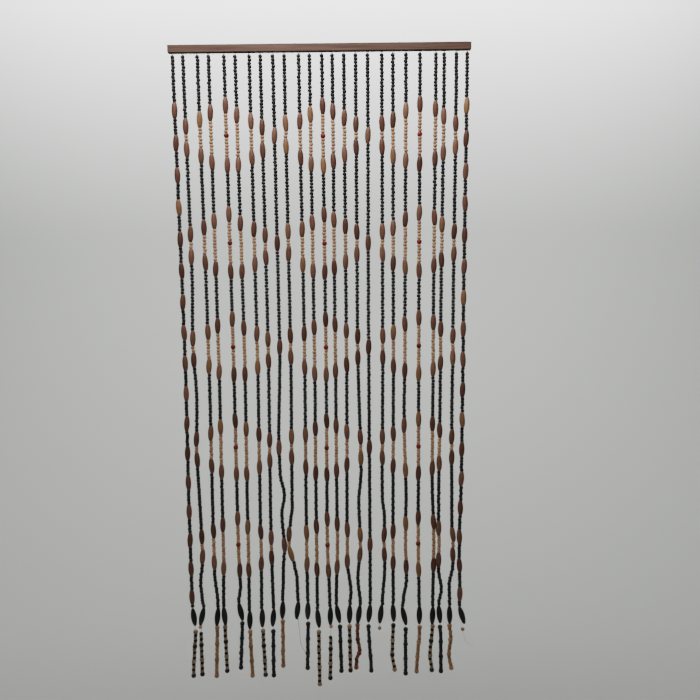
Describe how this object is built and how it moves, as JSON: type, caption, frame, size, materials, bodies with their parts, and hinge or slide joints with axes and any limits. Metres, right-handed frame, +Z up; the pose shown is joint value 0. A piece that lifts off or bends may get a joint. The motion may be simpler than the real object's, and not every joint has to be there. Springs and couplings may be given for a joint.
{
  "type": "bead curtain with header rail",
  "caption": "Wooden bead curtain: strands of small beads and long oval beads in diamond rows, hung by screw eyes under a flat header rail.",
  "frame": {"origin": "centre of the header rail's back face, which lies against the wall", "axes": "+X along the rail to the right as seen from the front, +Y into the wall, +Z up; the strands hang along -Z"},
  "size_m": [0.9015, 0.02, 2.028],
  "materials": {
    "rail_wood": "satin varnish over brown stain, straight grain along the rail",
    "black_beads": "black lacquer, semi-gloss",
    "brown_ovals": "varnished turned wood, semi-gloss, varying from orange-brown to red-brown",
    "tan_beads": "clear varnished pale wood",
    "red_beads": "dark red lacquer, semi-gloss",
    "thread": "thin twisted nylon thread",
    "eye_steel": "dull bronzed steel wire"
  },
  "bodies": {
    "root": {"header_rail": "rail_wood", "strand_comb": "black_beads", "screw_eye_01": "eye_steel", "screw_eye_02": "eye_steel", "screw_eye_03": "eye_steel", "screw_eye_04": "eye_steel", "screw_eye_05": "eye_steel", "screw_eye_06": "eye_steel", "screw_eye_07": "eye_steel", "screw_eye_08": "eye_steel", "screw_eye_09": "eye_steel", "screw_eye_10": "eye_steel", "screw_eye_11": "eye_steel", "screw_eye_12": "eye_steel", "screw_eye_13": "eye_steel", "screw_eye_14": "eye_steel", "screw_eye_15": "eye_steel", "screw_eye_16": "eye_steel", "screw_eye_17": "eye_steel", "screw_eye_18": "eye_steel", "screw_eye_19": "eye_steel", "screw_eye_20": "eye_steel", "screw_eye_21": "eye_steel", "screw_eye_22": "eye_steel", "screw_eye_23": "eye_steel", "screw_eye_24": "eye_steel", "screw_eye_25": "eye_steel"}
  },
  "joints": []
}
